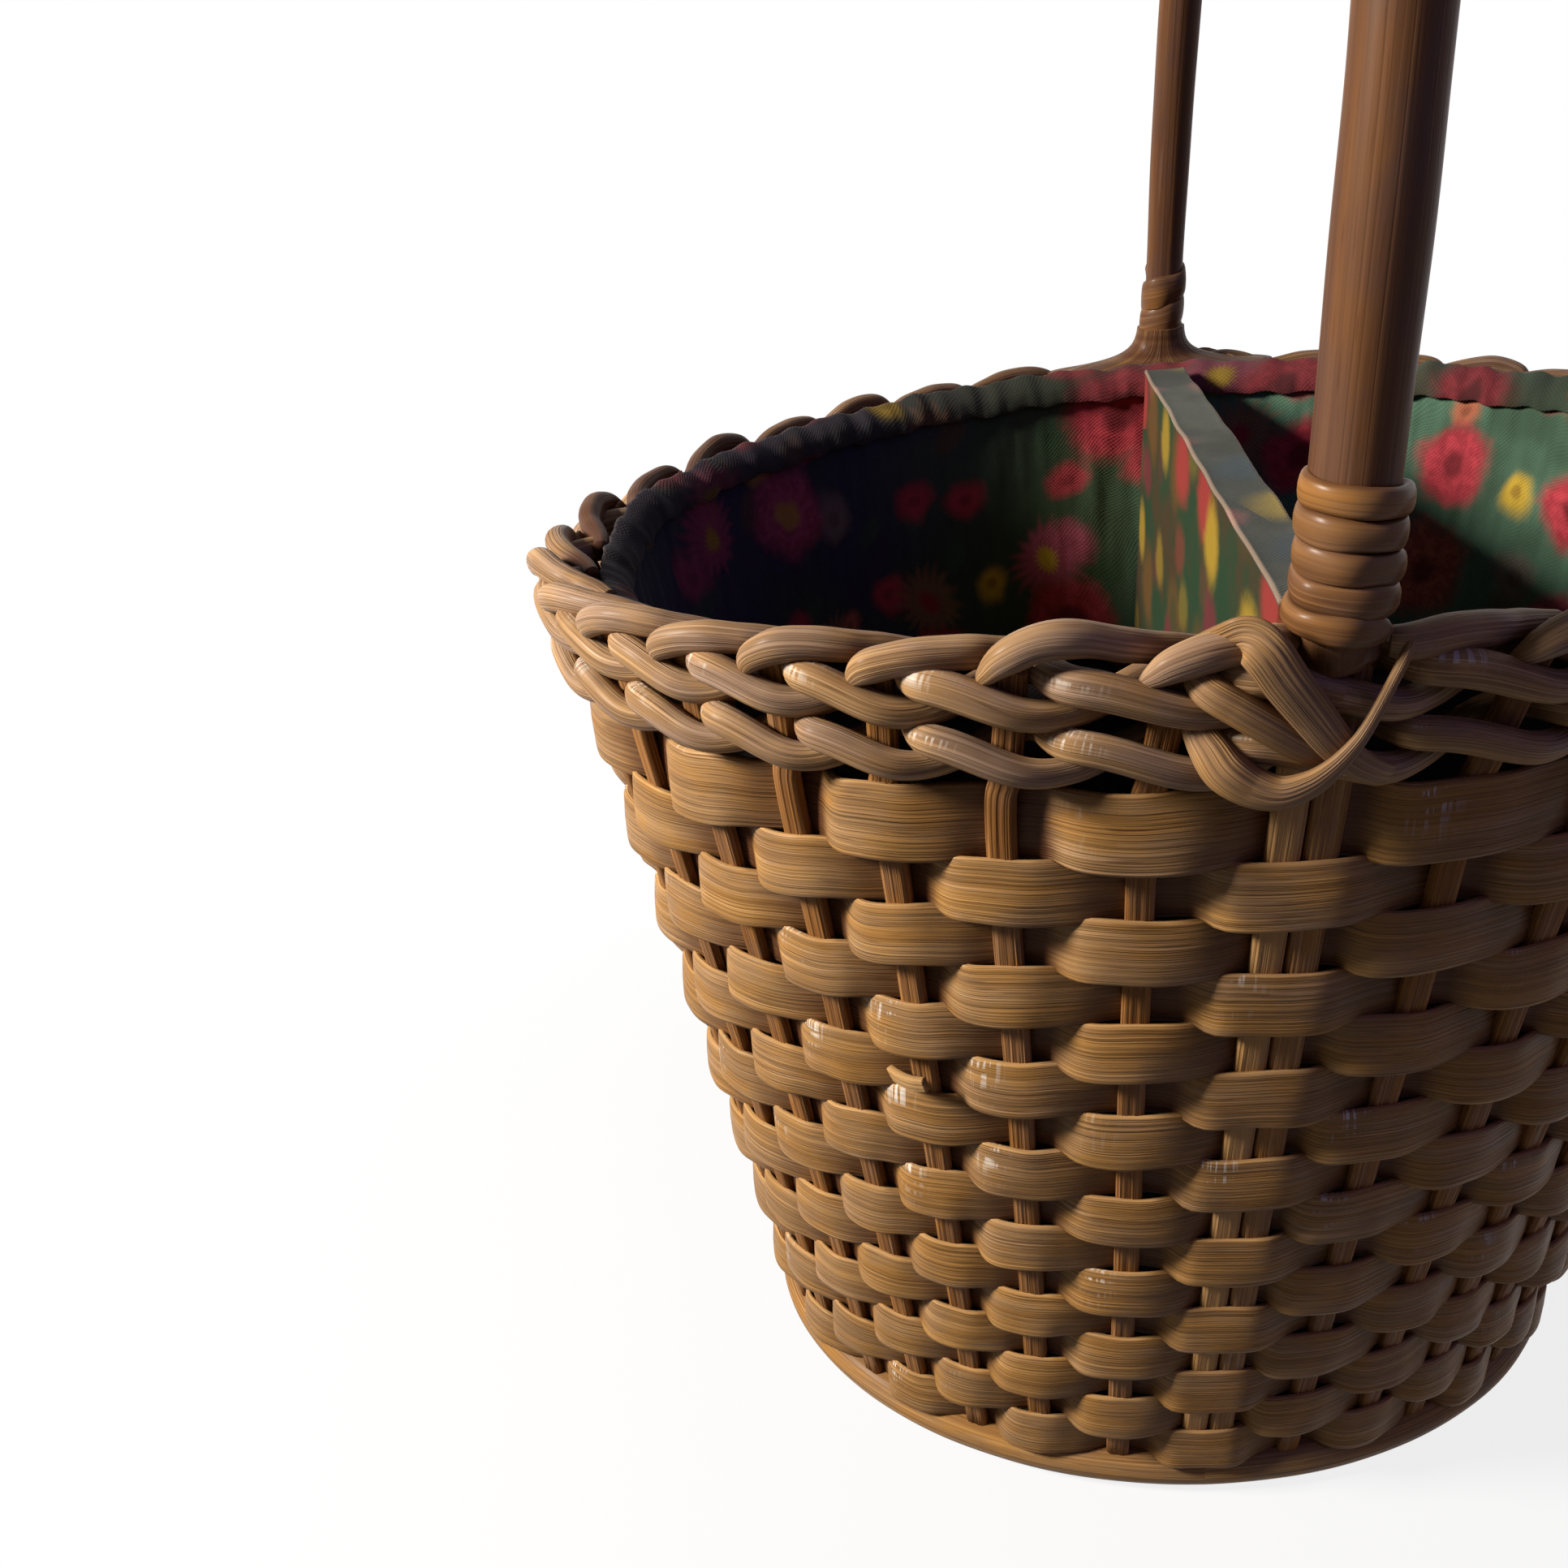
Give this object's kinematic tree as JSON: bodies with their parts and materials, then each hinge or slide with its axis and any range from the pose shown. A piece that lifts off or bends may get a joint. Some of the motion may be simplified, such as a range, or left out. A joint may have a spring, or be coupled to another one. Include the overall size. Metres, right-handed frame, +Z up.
{
  "type": "wicker bottle basket",
  "caption": "Oval woven cane bottle basket with a fixed arched handle, a twisted border, a cloth-covered lining and a divider between its compartments.",
  "frame": {"origin": "centre of the foot, on the table", "axes": "+Z up, +X along the long axis, +Y across from the near handle foot to the far one"},
  "size_m": [0.238, 0.1922, 0.3826],
  "materials": {
    "reed": "satin flat reed",
    "stake_cane": "satin grooved cane",
    "wound_cane": "satin round cane",
    "handle_cane": "polished cane",
    "foot_cane": "satin round cane",
    "board": "plain plywood",
    "printed_cloth": "printed cotton over card",
    "hem_cloth": "printed cotton over card"
  },
  "bodies": {
    "root": {"base_board": "board", "binding_far": "wound_cane", "binding_near": "wound_cane", "border_filler_00": "stake_cane", "border_filler_17": "stake_cane", "divider": "hem_cloth", "floor_pad_left": "printed_cloth", "floor_pad_right": "printed_cloth", "foot_rod": "foot_cane", "handle": "handle_cane", "lashing_far": "wound_cane", "lashing_near": "wound_cane", "lining_hem": "hem_cloth", "lining_wall": "printed_cloth", "reed_length_01": "reed", "reed_length_02": "reed", "reed_length_03": "reed", "reed_length_04": "reed", "stake_01": "stake_cane", "stake_02": "stake_cane", "stake_03": "stake_cane", "stake_04": "stake_cane", "stake_05": "stake_cane", "stake_06": "stake_cane", "stake_07": "stake_cane", "stake_08": "stake_cane", "stake_09": "stake_cane", "stake_10": "stake_cane", "stake_11": "stake_cane", "stake_12": "stake_cane", "stake_13": "stake_cane", "stake_14": "stake_cane", "stake_15": "stake_cane", "stake_16": "stake_cane", "stake_18": "stake_cane", "stake_19": "stake_cane", "stake_20": "stake_cane", "stake_21": "stake_cane", "stake_22": "stake_cane", "stake_23": "stake_cane", "stake_24": "stake_cane", "stake_25": "stake_cane", "stake_26": "stake_cane", "stake_27": "stake_cane", "stake_28": "stake_cane", "stake_29": "stake_cane", "stake_30": "stake_cane", "stake_31": "stake_cane", "stake_32": "stake_cane", "stake_33": "stake_cane", "twine_high_a": "wound_cane", "twine_high_b": "wound_cane", "twine_low_a": "wound_cane", "twine_low_b": "wound_cane"}
  },
  "joints": []
}
